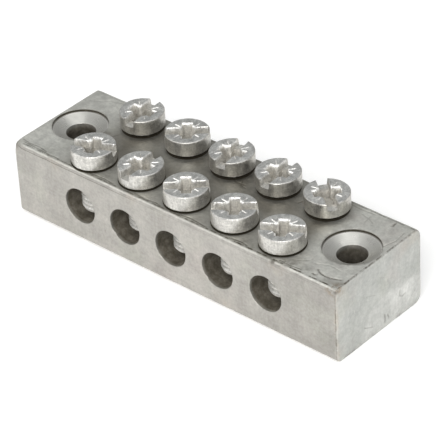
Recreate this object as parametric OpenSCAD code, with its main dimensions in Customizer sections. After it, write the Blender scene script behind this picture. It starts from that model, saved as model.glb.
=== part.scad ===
// Earth terminal bar: a rectangular metal bar, drilled across for five
// conductors, with two clamp screws over each bore and a recessed fixing
// hole at each end.  The origin is the centre of the bar's underside.
// X runs along the bar, Y across it (front face at -Y), Z is up.

/* [Bar] */
// Length of the bar, end face to end face
bar_l = 78.5; // [76:0.5:110]
// Width of the bar, front face to rear face
bar_w = 24; // [23:0.5:34]
// Height of the bar
bar_h = 16; // [14:0.5:22]
// Radius of the top front long edge
r_top_front = 0.7; // [0.3:0.1:1.5]
// Radius of the top rear long edge
r_top_rear = 1.3; // [0.3:0.1:1.5]
// Radius of the bottom front long edge
r_low_front = 1.2; // [0.3:0.1:1.8]
// Radius of the bottom rear long edge
r_low_rear = 1.7; // [0.3:0.1:1.8]

/* [Wire bores] */
// Number of conductor ways
ways = 5; // [1:1:5]
// Distance from one way to the next
pitch = 11.4; // [10.5:0.1:12]
// Diameter of each wire bore
bore_d = 7.4; // [6.6:0.1:8]

/* [Fixing holes] */
// Distance of each fixing hole from its end face
fix_end = 6; // [5.8:0.1:6.2]
// Diameter of the through hole
fix_d = 5.8; // [4.3:0.1:6.6]
// Diameter of the recess for the screw head
fix_recess_d = 10.9; // [9:0.1:11]
// Depth of the recess's straight wall, above its cone
fix_lip = 0.45; // [0.2:0.05:1]
// Depth from the top face to the foot of the cone
fix_depth = 1.55; // [1.2:0.05:3]

/* [Clamp screws] */
// Distance of each row of screws from its long face
row_inset = 5.4; // [5:0.1:6]
// Outside diameter of the screw thread
screw_d = 6; // [5:0.1:6]
// Radial clearance between the screw and its tapped hole
thread_gap = 0.05; // [0.02:0.01:0.1]
// Length of the screw below its head
screw_l = 10.6; // [9:0.1:10.8]
// Diameter of the screw head
head_d = 8.7; // [8:0.1:9.6]
// Height of the screw head
head_h = 3.1; // [2.8:0.1:4]
// Width of the straight driver slot at the top of the head
slot_w = 2.2; // [1.6:0.05:2.6]
// Depth of the straight driver slot
slot_t = 1.45; // [1:0.05:1.8]
// Span of the cross recess at the top of the head
cross_d = 5.3; // [4.4:0.1:5.8]
// Width of the wings of the cross
wing_w = 1.8; // [1.2:0.05:2]
// Depth of the cross recess
cross_t = 2.6; // [2:0.1:2.8]
// Gap under the heads of the front row
gap_front = 0.3; // [0.1:0.05:1]
// Gap under the heads of the rear row
gap_rear = 0.7; // [0.1:0.05:1]

/* [Hidden] */
row_y = bar_w / 2 - row_inset;
fix_x = bar_l / 2 - fix_end;
bore_z = bar_h / 2;
// how far each screw has been turned: the direction of its slot, in degrees
turn_front = [22, 88, 42, 38, 30];
turn_rear = [96, 40, 100, 93, 143];
eps = 0.01;

function way_x(i) = (i - (ways - 1) / 2) * pitch;

// ---- bar ---------------------------------------------------------------

// one rounded corner of the bar's section: a disc that touches both faces
module corner(y, z, r) {
    translate([y, z]) circle(r = r, $fn = 64);
}

// section across the bar, each long edge with its own radius
module bar_section() {
    w = bar_w / 2;
    union() {
        polygon([[-w + r_low_front, 0], [w - r_low_rear, 0],
                 [w, r_low_rear], [w, bar_h - r_top_rear],
                 [w - r_top_rear, bar_h], [-w + r_top_front, bar_h],
                 [-w, bar_h - r_top_front], [-w, r_low_front]]);
        corner(-w + r_low_front, r_low_front, r_low_front);
        corner(w - r_low_rear, r_low_rear, r_low_rear);
        corner(w - r_top_rear, bar_h - r_top_rear, r_top_rear);
        corner(-w + r_top_front, bar_h - r_top_front, r_top_front);
    }
}

// through hole, cone and straight-walled mouth of one fixing hole
module fixing_cut(x) {
    r = fix_d / 2;
    rr = fix_recess_d / 2;
    translate([x, 0, 0]) {
        translate([0, 0, -1]) cylinder(r = r, h = bar_h + 2, $fn = 96);
        rotate_extrude($fn = 96)
            polygon([[0, bar_h - fix_depth], [r, bar_h - fix_depth],
                     [rr, bar_h - fix_lip], [rr, bar_h + 1], [0, bar_h + 1]]);
    }
}

// tapped hole from the top face down to the middle of a wire bore
module screw_hole(x, y) {
    translate([x, y, bore_z])
        cylinder(r = screw_d / 2 + thread_gap, h = bar_h - bore_z + 1, $fn = 96);
}

module terminal_bar() {
    color([0.70, 0.69, 0.66])
    difference() {
        translate([-bar_l / 2, 0, 0]) rotate([90, 0, 90])
            linear_extrude(height = bar_l) bar_section();
        for (i = [0 : ways - 1]) {
            translate([way_x(i), bar_w / 2 + 1, bore_z]) rotate([90, 0, 0])
                cylinder(d = bore_d, h = bar_w + 2, $fn = 96);
            screw_hole(way_x(i), -row_y);
            screw_hole(way_x(i), row_y);
        }
        fixing_cut(-fix_x);
        fixing_cut(fix_x);
    }
}

// ---- clamp screw -------------------------------------------------------

// solid of revolution: flat tip with a small chamfer, plain shank at the
// thread's outside diameter, cylindrical head with an eased top edge
module screw_blank() {
    r = screw_d / 2;
    hr = head_d / 2;
    e = 0.25;
    rotate_extrude($fn = 96)
        polygon([[0, -screw_l], [r - 0.6, -screw_l], [r, -screw_l + 0.6],
                 [r, 0], [hr - 0.12, 0], [hr, 0.12], [hr, head_h - e],
                 [hr - e * (1 - cos(30)), head_h - e * (1 - sin(30))],
                 [hr - e * (1 - cos(60)), head_h - e * (1 - sin(60))],
                 [hr - e, head_h], [0, head_h]]);
}

// straight slot right across the head, its walls leaning a little
module driver_slot() {
    a = slot_w / 2;
    rotate([90, 0, 90]) translate([0, 0, -head_d / 2 - 1])
        linear_extrude(height = head_d + 2)
            polygon([[-a + 0.12, -slot_t], [a - 0.12, -slot_t],
                     [a, eps], [-a, eps]]);
}

// one pair of opposite wings of the cross: a flat blade, narrower below
module wing_pair(span, depth, width) {
    rotate([90, 0, 0]) translate([0, 0, -width / 2])
        linear_extrude(height = width)
            polygon([[-span / 2, eps], [-span * 0.39, -depth],
                     [span * 0.39, -depth], [span / 2, eps]]);
}

// square tapering core of the cross, turned half way between the wings
module recess_core(depth) {
    a = 1.95;
    b = 1.1;
    intersection() {
        rotate([0, 0, 45]) rotate([90, 0, 0]) translate([0, 0, -3])
            linear_extrude(height = 6)
                polygon([[-a, eps], [-b, -depth], [b, -depth], [a, eps]]);
        rotate([0, 0, -45]) rotate([90, 0, 0]) translate([0, 0, -3])
            linear_extrude(height = 6)
                polygon([[-a, eps], [-b, -depth], [b, -depth], [a, eps]]);
    }
}

// short shallow V groove between two wings
module tick(angle) {
    rotate([0, 0, angle]) translate([1.5, 0, 0]) rotate([90, 0, 90])
        linear_extrude(height = 1.9)
            polygon([[-0.16, eps], [0, -0.2], [0.16, eps]]);
}

module clamp_screw(x, y, gap, turn) {
    translate([x, y, bar_h + gap]) rotate([0, 0, turn])
    difference() {
        screw_blank();
        translate([0, 0, head_h]) {
            driver_slot();
            wing_pair(cross_d, cross_t, wing_w);
            rotate([0, 0, 90]) wing_pair(cross_d, cross_t, wing_w);
            recess_core(cross_t - 0.2);
            for (k = [0 : 3]) tick(45 + 90 * k);
        }
    }
}

// way n of the front row, and of the rear row, counted from the left
module front_screw(n) {
    color([0.80, 0.80, 0.78])
        if (n <= ways) clamp_screw(way_x(n - 1), -row_y, gap_front, turn_front[n - 1]);
}
module rear_screw(n) {
    color([0.80, 0.80, 0.78])
        if (n <= ways) clamp_screw(way_x(n - 1), row_y, gap_rear, turn_rear[n - 1]);
}

terminal_bar();
front_screw(1);  // clamp_screw_front_1
front_screw(2);  // clamp_screw_front_2
front_screw(3);  // clamp_screw_front_3
front_screw(4);  // clamp_screw_front_4
front_screw(5);  // clamp_screw_front_5
rear_screw(1);  // clamp_screw_rear_1
rear_screw(2);  // clamp_screw_rear_2
rear_screw(3);  // clamp_screw_rear_3
rear_screw(4);  // clamp_screw_rear_4
rear_screw(5);  // clamp_screw_rear_5
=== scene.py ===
# Earth terminal bar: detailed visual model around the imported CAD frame.
# Lengths in the helpers are millimetres; meshes are scaled to metres at the end.
import math
import bpy
import bmesh
from mathutils import Matrix, Vector, noise
from mathutils.geometry import delaunay_2d_cdt


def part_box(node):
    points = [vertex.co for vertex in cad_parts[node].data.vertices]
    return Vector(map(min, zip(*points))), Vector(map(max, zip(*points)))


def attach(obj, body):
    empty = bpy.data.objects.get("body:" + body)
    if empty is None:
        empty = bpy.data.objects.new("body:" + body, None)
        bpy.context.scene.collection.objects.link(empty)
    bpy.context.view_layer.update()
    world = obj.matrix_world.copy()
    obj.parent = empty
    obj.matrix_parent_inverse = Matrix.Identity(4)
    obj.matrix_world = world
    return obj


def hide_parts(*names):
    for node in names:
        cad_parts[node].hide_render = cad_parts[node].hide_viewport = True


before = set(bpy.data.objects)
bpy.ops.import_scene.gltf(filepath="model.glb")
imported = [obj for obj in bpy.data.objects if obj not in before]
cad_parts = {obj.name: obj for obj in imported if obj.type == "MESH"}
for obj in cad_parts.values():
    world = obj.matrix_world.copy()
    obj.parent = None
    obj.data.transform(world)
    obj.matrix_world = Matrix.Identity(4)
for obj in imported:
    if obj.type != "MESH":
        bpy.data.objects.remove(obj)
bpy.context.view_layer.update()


MM = 0.001

# ---------------------------------------------------------------- measures
lo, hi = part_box("terminal_bar")
L2 = (hi[0] - lo[0]) / 2 / MM          # half length, 39.25
W2 = (hi[1] - lo[1]) / 2 / MM          # half width, 12
H = (hi[2] - lo[2]) / MM               # height, 16
PITCH = 11.4
WAYS = [-2 * PITCH, -PITCH, 0.0, PITCH, 2 * PITCH]
BORE_R = 3.7
BORE_Z = H / 2
ROW_Y = 6.6
HOLE_R = 3.05
FIX_X = L2 - 6.0
FIX_R = 2.9
REC_R = 5.45
REC_LIP = 0.45
REC_FOOT = 1.55
R_TF, R_TR, R_LF, R_LR = 0.7, 1.3, 1.2, 1.7
HEAD_R, HEAD_H = 4.35, 3.1
SCREW_R, SCREW_L = 3.0, 10.6
SLOT_H, SLOT_T = 1.10, 1.45
WING_H = 0.90
CROSS_T = 2.6
GAP_F, GAP_R = 0.3, 0.7
TURN_F = [22, 88, 42, 38, 30]
TURN_R = [96, 40, 100, 93, 143]
# how far each tapped hole was drilled from its place on the pattern
OFF_F = [(0.10, -0.70), (0.10, 0.03), (0.04, -0.13), (0.10, 0.03), (-0.09, 0.10)]
OFF_R = [(-0.29, 0.07), (-0.04, -0.15), (-0.25, -0.23), (-0.48, -0.16), (-0.56, 0.01)]


def hole_at(i, row):
    """centre of tapped hole i of the front (0) or rear (1) row"""
    o = (OFF_F, OFF_R)[row][i]
    return WAYS[i] + o[0], (-ROW_Y, ROW_Y)[row] + o[1]



def n3(p, s, seed=0.0):
    """smooth noise, about -1..1, at feature size 1/s mm"""
    return noise.noise(Vector((p[0] * s + seed * 17.3, p[1] * s - seed * 7.1, p[2] * s + seed * 3.7)))


def smooth(e0, e1, x):
    if e0 == e1:
        return 0.0 if x < e0 else 1.0
    t = max(0.0, min(1.0, (x - e0) / (e1 - e0)))
    return t * t * (3 - 2 * t)


# ------------------------------------------------------------ mesh builder
class Shell:
    """collects vertices and faces from patches; equal corners are merged"""

    def __init__(self):
        self.v = []
        self.f = []

    def add(self, pts):
        s = len(self.v)
        self.v.extend(pts)
        return s

    def grid(self, rows, closed=False, flip=False):
        """rows of equal length become strips of quads"""
        n = len(rows[0])
        s = self.add([p for r in rows for p in r])
        m = n if closed else n - 1
        for i in range(len(rows) - 1):
            for j in range(m):
                a = s + i * n + j
                b = s + i * n + (j + 1) % n
                c = s + (i + 1) * n + (j + 1) % n
                d = s + (i + 1) * n + j
                self.f.append((d, c, b, a) if flip else (a, b, c, d))

    def patch(self, outer, holes, inner, place, keep, flip=False):
        """triangulates a flat domain with holes; place() puts a 2-D point in space"""
        pts = list(outer)
        edges = [(i, (i + 1) % len(outer)) for i in range(len(outer))]
        for h in holes:
            s = len(pts)
            pts.extend(h)
            edges += [(s + i, s + (i + 1) % len(h)) for i in range(len(h))]
        pts.extend(inner)
        v, _, f, _, _, _ = delaunay_2d_cdt([Vector(p) for p in pts], edges, [], 1, 1e-5)
        s = self.add([place(p[0], p[1]) for p in v])
        for t in f:
            cx = sum(v[i][0] for i in t) / len(t)
            cy = sum(v[i][1] for i in t) / len(t)
            if keep(cx, cy):
                g = [s + i for i in t]
                self.f.append(tuple(reversed(g)) if flip else tuple(g))

    def mesh(self, name, move=None, merge=0.004):
        bm = bmesh.new()
        vs = [bm.verts.new(p) for p in self.v]
        for f in self.f:
            if len(set(f)) > 2:
                try:
                    bm.faces.new([vs[i] for i in f])
                except ValueError:
                    pass
        bmesh.ops.remove_doubles(bm, verts=bm.verts, dist=merge)
        bmesh.ops.dissolve_degenerate(bm, dist=0.0008, edges=bm.edges)
        loose = [v for v in bm.verts if not v.link_faces]
        bmesh.ops.delete(bm, geom=loose, context="VERTS")
        bmesh.ops.recalc_face_normals(bm, faces=bm.faces)
        bm.normal_update()
        if move:
            new = [move(v.co.copy(), v.normal.copy()) for v in bm.verts]
            for v, p in zip(bm.verts, new):
                v.co = p
            bm.normal_update()
        me = bpy.data.meshes.new(name)
        bm.to_mesh(me)
        bm.free()
        return me


def ring(cx, cy, r, n, start=0.0):
    return [(cx + r * math.cos(start + 2 * math.pi * i / n), cy + r * math.sin(start + 2 * math.pi * i / n))
            for i in range(n)]


def span(a, b, step):
    n = max(1, int(round((b - a) / step)))
    return [a + (b - a) * i / n for i in range(n + 1)]


def field(x0, x1, y0, y1, step, holes, edge=0.6, seed=1.0):
    """scattered points inside a rectangle, clear of its edges and of round holes"""
    out = []
    j = 0
    y = y0 + step * edge
    while y < y1 - step * edge * 0.9:
        x = x0 + step * (edge if j % 2 else edge + 0.5)
        while x < x1 - step * edge:
            if all((x - a) ** 2 + (y - b) ** 2 > (r + step * 0.55) ** 2 for a, b, r in holes):
                out.append((x + 0.06 * step * noise.noise(Vector((x * 9.1, y * 7.7, seed))),
                            y + 0.06 * step * noise.noise(Vector((x * 5.3, y * 8.9, seed + 5)))))
            x += step
        y += step * 0.866
        j += 1
    return out


def as_object(me, name, body, node, mat, smooth_angle=None):
    me.transform(Matrix.Scale(MM, 4))
    o = bpy.data.objects.new(name, me)
    bpy.context.scene.collection.objects.link(o)
    me.polygons.foreach_set("use_smooth", [True] * len(me.polygons))
    if smooth_angle is not None:
        me.set_sharp_from_angle(angle=math.radians(smooth_angle))
    me.materials.append(mat)
    me.update()
    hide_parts(node)
    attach(o, body)
    return o


# --------------------------------------------------------------- materials
class Nodes:
    def __init__(self, name):
        self.mat = bpy.data.materials.new(name)
        self.mat.use_nodes = True
        self.t = self.mat.node_tree
        self.t.nodes.clear()
        self.out = self.t.nodes.new("ShaderNodeOutputMaterial")
        self.bsdf = self.t.nodes.new("ShaderNodeBsdfPrincipled")
        self.t.links.new(self.bsdf.outputs[0], self.out.inputs[0])
        self.tc = self.t.nodes.new("ShaderNodeTexCoord").outputs["Object"]

    def link(self, a, b):
        self.t.links.new(a, b)

    def put(self, sock, x):
        if hasattr(x, "is_linked") or hasattr(x, "links"):
            self.link(x, sock)
        else:
            sock.default_value = x

    def mapping(self, scale, rot=(0, 0, 0), loc=(0, 0, 0)):
        n = self.t.nodes.new("ShaderNodeMapping")
        self.link(self.tc, n.inputs["Vector"])
        n.inputs["Scale"].default_value = scale
        n.inputs["Rotation"].default_value = rot
        n.inputs["Location"].default_value = loc
        return n.outputs[0]

    def noise(self, scale, detail=4, rough=0.55, vec=None, dist=0.0):
        n = self.t.nodes.new("ShaderNodeTexNoise")
        self.link(vec or self.tc, n.inputs["Vector"])
        n.inputs["Scale"].default_value = scale
        n.inputs["Detail"].default_value = detail
        n.inputs["Roughness"].default_value = rough
        n.inputs["Distortion"].default_value = dist
        return n.outputs[0]

    def voronoi(self, scale, vec=None, feature="F1"):
        n = self.t.nodes.new("ShaderNodeTexVoronoi")
        n.feature = feature
        self.link(vec or self.tc, n.inputs["Vector"])
        n.inputs["Scale"].default_value = scale
        return n.outputs[0]

    def attr(self, name):
        n = self.t.nodes.new("ShaderNodeAttribute")
        n.attribute_type = "GEOMETRY"
        n.attribute_name = name
        return n.outputs["Fac"]

    def math(self, op, a, b=None, c=None, clamp=False):
        n = self.t.nodes.new("ShaderNodeMath")
        n.operation = op
        n.use_clamp = clamp
        self.put(n.inputs[0], a)
        if b is not None:
            self.put(n.inputs[1], b)
        if c is not None:
            self.put(n.inputs[2], c)
        return n.outputs[0]

    def ramp(self, x, a, b, ya=0.0, yb=1.0):
        n = self.t.nodes.new("ShaderNodeMapRange")
        n.clamp = True
        n.interpolation_type = "SMOOTHSTEP"
        self.link(x, n.inputs["Value"])
        n.inputs["From Min"].default_value = a
        n.inputs["From Max"].default_value = b
        n.inputs["To Min"].default_value = ya
        n.inputs["To Max"].default_value = yb
        return n.outputs[0]

    def mix(self, fac, a, b, mode="MIX"):
        n = self.t.nodes.new("ShaderNodeMix")
        n.data_type = "RGBA"
        n.blend_type = mode
        n.clamp_factor = True
        self.put(n.inputs[0], fac)
        self.put(n.inputs[6], a)
        self.put(n.inputs[7], b)
        return n.outputs[2]

    def scale_colour(self, col, fac):
        """colour times a grey factor"""
        n = self.t.nodes.new("ShaderNodeVectorMath")
        n.operation = "SCALE"
        self.put(n.inputs[0], col[:3] if isinstance(col, tuple) else col)
        self.put(n.inputs["Scale"], fac)
        return n.outputs[0]

    def coord(self):
        """the object's own x, y, z in millimetres"""
        v = self.t.nodes.new("ShaderNodeVectorMath")
        v.operation = "SCALE"
        self.link(self.tc, v.inputs[0])
        v.inputs["Scale"].default_value = 1000.0
        s = self.t.nodes.new("ShaderNodeSeparateXYZ")
        self.link(v.outputs[0], s.inputs[0])
        return s.outputs

    def along_x(self, val, k):
        """a vector that runs with one value, for ring and line patterns"""
        c = self.t.nodes.new("ShaderNodeCombineXYZ")
        self.link(self.math("MULTIPLY", val, k), c.inputs[0])
        return c.outputs[0]

    def near(self, val, at, half):
        """1 on the line val = at, 0 beyond half"""
        d = self.math("ABSOLUTE", self.math("SUBTRACT", val, at))
        return self.ramp(d, half * 0.25, half, 1.0, 0.0)

    def both(self, a, b):
        return self.math("MULTIPLY", a, b, clamp=True)

    def normal_axis(self):
        g = self.t.nodes.new("ShaderNodeTexCoord").outputs["Normal"]
        s = self.t.nodes.new("ShaderNodeSeparateXYZ")
        self.link(g, s.inputs[0])
        return s.outputs

    def bump(self, height, dist, strength=1.0, normal=None):
        n = self.t.nodes.new("ShaderNodeBump")
        n.inputs["Strength"].default_value = strength
        n.inputs["Distance"].default_value = dist
        self.link(height, n.inputs["Height"])
        if normal is not None:
            self.link(normal, n.inputs["Normal"])
        return n.outputs[0]


def rgb(r, g, b):
    return (r, g, b, 1.0)


def bar_material():
    m = Nodes("bar_metal_worn")
    big = m.noise(60, 3, 0.5)
    cloud = m.noise(190, 3, 0.5, dist=0.5)
    mid = m.noise(620, 4, 0.6)
    fine = m.noise(1900, 4, 0.65)
    grain = m.noise(5200, 2, 0.5)
    saw = m.noise(1.0, 3, 0.6, m.mapping((1700, 1700, 170)))
    draw = m.noise(1.0, 3, 0.6, m.mapping((90, 1900, 1900)))
    nx, ny, nz = m.normal_axis()
    px, py, pz = m.coord()
    top = m.ramp(nz, 0.5, 0.92)
    end = m.ramp(nx, 0.6, 0.95)
    front = m.ramp(ny, -0.6, -0.95)
    # painted light: the base tone follows the way each face points, warm and darker on the sides, cooler on the end,
    # lighter greenish grey on top
    col = m.mix(top, rgb(0.420, 0.405, 0.377), rgb(0.572, 0.572, 0.532))
    col = m.mix(end, col, rgb(0.450, 0.455, 0.432))
    # cloudy tone, fine speckle and faint drawing and sawing lines
    f = m.math("MULTIPLY_ADD", big, 0.20, 0.90)
    f = m.math("MULTIPLY", f, m.ramp(cloud, 0.30, 0.70, 0.92, 1.07))
    f = m.math("MULTIPLY", f, m.ramp(mid, 0.28, 0.72, 0.93, 1.07))
    f = m.math("MULTIPLY", f, m.ramp(fine, 0.28, 0.72, 0.91, 1.09))
    f = m.math("MULTIPLY", f, m.ramp(saw, 0.25, 0.75, 0.965, 1.03))
    f = m.math("MULTIPLY", f, m.ramp(draw, 0.25, 0.75, 0.97, 1.025))
    # the front falls off a little towards its right end
    f = m.math("MULTIPLY", f, m.math("SUBTRACT", 1.0, m.both(front, m.ramp(px, 6.0, 36.0, 0.0, 0.15))))
    col = m.scale_colour(col, f)
    # faint pinkish and greenish stains in patches
    t1 = m.ramp(m.noise(130, 2, 0.5, m.mapping((1, 1, 1), loc=(0.31, 0.17, 0.05))), 0.52, 0.70, 0.0, 0.30)
    col = m.mix(t1, col, m.scale_colour(rgb(0.440, 0.396, 0.374), f))
    t2 = m.ramp(m.noise(150, 2, 0.5, m.mapping((1, 1, 1), loc=(0.07, 0.41, 0.22))), 0.52, 0.70, 0.0, 0.30)
    col = m.mix(t2, col, m.scale_colour(rgb(0.392, 0.396, 0.344), f))
    # paler rubbed area low on the end, warm and olive stains in its corners
    pale = m.both(m.attr("pale"), m.ramp(cloud, 0.30, 0.62, 0.55, 1.0))
    col = m.mix(pale, col, m.scale_colour(rgb(0.590, 0.590, 0.564), f))
    warm = m.both(m.attr("warm"), m.ramp(mid, 0.40, 0.62, 0.25, 1.0))
    col = m.mix(warm, col, m.scale_colour(rgb(0.430, 0.388, 0.340), f))
    # darker brownish film between the screws, and painted shade round each head
    film_and_shade = m.both(m.attr("film_and_shade"), m.ramp(cloud, 0.25, 0.75, 0.86, 1.12))
    col = m.mix(film_and_shade, col, m.scale_colour(rgb(0.188, 0.177, 0.150), f))
    # dark specks
    sp = m.ramp(m.voronoi(620), 0.10, 0.03, 0.0, 1.0)
    spn = m.both(sp, m.ramp(m.noise(260, 3, 0.5), 0.55, 0.66, 0.0, 0.6))
    col = m.mix(spn, col, rgb(0.18, 0.165, 0.135))
    # grime in olive brown, joined further down by the painted shadow under the heads
    g = m.attr("grime")
    gn = m.ramp(m.noise(1100, 5, 0.7), 0.32, 0.60)
    grime_and_shadow = m.both(m.math("POWER", g, 0.85), m.math("MULTIPLY_ADD", gn, 0.5, 0.5))
    # thin dark lines along the edges of the top
    tear = m.ramp(m.noise(700, 4, 0.7), 0.40, 0.58)
    high = m.ramp(pz, 15.75, 15.93)
    l1 = m.both(m.near(py, -11.32, 0.26), m.ramp(px, -12.0, 26.0, 0.62, 0.95))
    l2 = m.both(m.near(px, 39.06, 0.26), m.ramp(py, 9.0, -11.0, 0.62, 0.92))
    l3 = m.both(m.near(py, 10.85, 0.22), m.ramp(px, 14.0, 34.0, 0.25, 0.70))
    ln = m.math("MAXIMUM", m.math("MAXIMUM", l1, l2), l3)
    ln = m.both(m.both(ln, high), m.math("MULTIPLY_ADD", tear, 0.85, 0.15))
    l4 = m.both(m.near(pz, 15.22, 0.16), m.both(front, m.ramp(px, -6.0, -16.0, 0.12, 0.42)))
    l5 = m.both(m.near(px, 39.02, 0.16), m.both(front, m.ramp(mid, 0.35, 0.6, 0.25, 0.55)))
    ln = m.math("MAXIMUM", ln, m.math("MAXIMUM", l4, l5))
    grime_and_shadow = m.math("MAXIMUM", grime_and_shadow, ln)
    # painted shadow: the dark line right under every head
    hd = m.attr("hd")
    grime_and_shadow = m.math("MAXIMUM", grime_and_shadow, m.both(high, m.ramp(hd, 4.36, 4.54, 1.0, 0.0)))
    col = m.mix(grime_and_shadow, col, rgb(0.062, 0.053, 0.036))
    # rust-brown in the corner of top, front and end
    rust = m.both(m.attr("rust"), m.ramp(m.noise(900, 4, 0.65), 0.44, 0.56))
    col = m.mix(m.math("MULTIPLY", rust, 0.8), col, rgb(0.245, 0.185, 0.120))
    # bores and holes: dull dark oxide, darker higher up
    inside = m.attr("inside")
    dark = m.mix(m.ramp(mid, 0.35, 0.7), rgb(0.135, 0.121, 0.095), rgb(0.228, 0.208, 0.172))
    dark = m.scale_colour(dark, m.both(m.ramp(fine, 0.3, 0.7, 0.72, 1.0), m.ramp(pz, 4.6, 10.0, 1.0, 0.70)))
    dark = m.scale_colour(dark, 1.36)
    col = m.mix(inside, col, dark)
    # turned recesses: fine rings, painted shade on the wall and a painted highlight line at its foot
    turned = m.attr("turned")
    rad = m.attr("rad")
    rings = m.ramp(m.noise(1.0, 3, 0.6, m.along_x(rad, 9.0)), 0.25, 0.75, 0.86, 1.12)
    cone = m.scale_colour(rgb(0.53, 0.525, 0.492), m.both(rings, m.ramp(cloud, 0.3, 0.7, 0.90, 1.0)))
    col = m.mix(turned, col, cone)
    col = m.mix(m.both(turned, m.near(rad, 5.20, 0.11)), col, rgb(0.70, 0.69, 0.66))
    col = m.mix(m.attr("lip"), col, rgb(0.085, 0.075, 0.055))
    # bright bare metal where edges are rubbed
    w = m.attr("wear")
    wf = m.both(w, m.ramp(m.noise(1300, 4, 0.65), 0.35, 0.6, 0.0, 0.8))
    col = m.mix(wf, col, rgb(0.64, 0.625, 0.59))
    m.link(col, m.bsdf.inputs["Base Color"])
    m.bsdf.inputs["Metallic"].default_value = 0.80
    r = m.ramp(mid, 0.25, 0.75, 0.42, 0.56)
    r = m.math("MULTIPLY_ADD", turned, -0.17, r)
    r = m.math("ADD", r, m.math("MULTIPLY", grime_and_shadow, 0.25))
    r = m.math("ADD", r, m.math("MULTIPLY", inside, 0.25), clamp=True)
    m.link(r, m.bsdf.inputs["Roughness"])
    h = m.math("MULTIPLY_ADD", saw, 0.30, m.math("MULTIPLY", draw, 0.25))
    h = m.math("MULTIPLY_ADD", grain, 0.30, h)
    h = m.math("MULTIPLY_ADD", fine, 0.45, h)
    h = m.math("MULTIPLY_ADD", mid, 0.6, h)
    h = m.math("MULTIPLY", h, m.math("MULTIPLY_ADD", turned, -0.8, 1.0))
    m.link(m.bump(h, 0.00009, 0.55), m.bsdf.inputs["Normal"])
    return m.mat


def screw_material():
    m = Nodes("screw_metal_plated")
    cloud = m.noise(330, 3, 0.55)
    mid = m.noise(980, 5, 0.65)
    fine = m.noise(3400, 4, 0.65)
    hoop = m.noise(1.0, 4, 0.65, m.mapping((420, 420, 5200)))
    scr = m.noise(1.0, 3, 0.6, m.mapping((4200, 420, 420), rot=(0, 0, 0.7)))
    nx, ny, nz = m.normal_axis()
    up = m.ramp(nz, 0.6, 0.95)
    f = m.ramp(cloud, 0.3, 0.7, 0.90, 1.08)
    f = m.math("MULTIPLY", f, m.ramp(mid, 0.28, 0.72, 0.82, 1.14))
    f = m.math("MULTIPLY", f, m.ramp(fine, 0.30, 0.70, 0.82, 1.15))
    f = m.math("MULTIPLY", f, m.ramp(hoop, 0.25, 0.75, 0.90, 1.09))
    f = m.math("MULTIPLY", f, m.ramp(scr, 0.25, 0.75, 0.90, 1.09))
    # painted light: faces turned up are a little lighter and cooler than the sides
    col = m.scale_colour(m.mix(up, rgb(0.605, 0.592, 0.560), rgb(0.625, 0.625, 0.603)), f)
    # dull film on the side, heavier on some screws, and painted shade on the side turned from the light
    film_side_shade = m.both(m.attr("film_and_side_shade"), m.ramp(cloud, 0.3, 0.7, 0.75, 1.1))
    col = m.mix(film_side_shade, col, m.scale_colour(rgb(0.225, 0.212, 0.170), f))
    # the driver recess: painted shade, greyer and faintly brown deeper down, below its bright edges
    rec = m.attr("recess")
    rf = m.both(rec, m.ramp(mid, 0.25, 0.75, 0.75, 1.0))
    col = m.mix(rf, col, m.scale_colour(rgb(0.470, 0.450, 0.405), f))
    # painted highlight on the driver-worn broken edges, near white
    ch = m.both(m.attr("chamfer"), m.ramp(m.noise(700, 3, 0.6), 0.36, 0.58, 0.30, 1.0))
    col = m.mix(ch, col, rgb(0.84, 0.835, 0.81))
    # painted shadow along the lower edge of the head's side and on its underside
    low = m.both(m.attr("low"), m.ramp(mid, 0.2, 0.6, 0.8, 1.0))
    col = m.mix(low, col, rgb(0.055, 0.047, 0.034))
    # brown specks
    sp = m.both(m.ramp(m.voronoi(900), 0.11, 0.04), m.ramp(m.noise(420, 3, 0.5), 0.54, 0.64, 0.0, 0.7))
    col = m.mix(sp, col, rgb(0.20, 0.165, 0.115))
    # painted shade in the thread roots and on the narrower tip
    th = m.attr("thread")
    col = m.mix(m.math("MULTIPLY", th, 0.42), col, rgb(0.24, 0.22, 0.185))
    # the threaded shank is made 8 % darker than the head
    col = m.scale_colour(col, m.math("MULTIPLY_ADD", m.attr("shank"), -0.08, 1.0))
    m.link(col, m.bsdf.inputs["Base Color"])
    sh = m.attr("shank")
    me = m.math("MULTIPLY_ADD", sh, -0.66, 0.90)
    me = m.math("MULTIPLY_ADD", rec, -0.45, me, clamp=True)
    me = m.math("MULTIPLY_ADD", ch, -0.50, me, clamp=True)
    m.link(me, m.bsdf.inputs["Metallic"])
    r = m.ramp(mid, 0.25, 0.75, 0.27, 0.46)
    r = m.math("MULTIPLY_ADD", sh, 0.15, r)
    r = m.math("MULTIPLY_ADD", rec, 0.22, r, clamp=True)
    m.link(r, m.bsdf.inputs["Roughness"])
    h = m.math("MULTIPLY_ADD", hoop, 0.5, m.math("MULTIPLY", fine, 0.5))
    h = m.math("MULTIPLY_ADD", scr, 0.5, h)
    h = m.math("MULTIPLY_ADD", mid, 0.5, h)
    m.link(m.bump(h, 0.00005, 0.6), m.bsdf.inputs["Normal"])
    return m.mat


BAR_MAT = bar_material()
SCREW_MAT = screw_material()

# --------------------------------------------------------------------- bar
E = 0.2            # easing at the sawn end edges
RIM = 0.13         # easing at the bore mouths
X0 = L2 - E
STEP = 0.36
NB = 72            # corners round a wire bore
NS = 48            # corners round a screw hole
NR = 112           # corners round a recess

xs = span(-X0, X0, STEP)


def arc(cy, cz, r, a0, a1, n):
    return [(cy + r * math.cos(a0 + (a1 - a0) * i / n), cz + r * math.sin(a0 + (a1 - a0) * i / n))
            for i in range(n + 1)]


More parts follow.
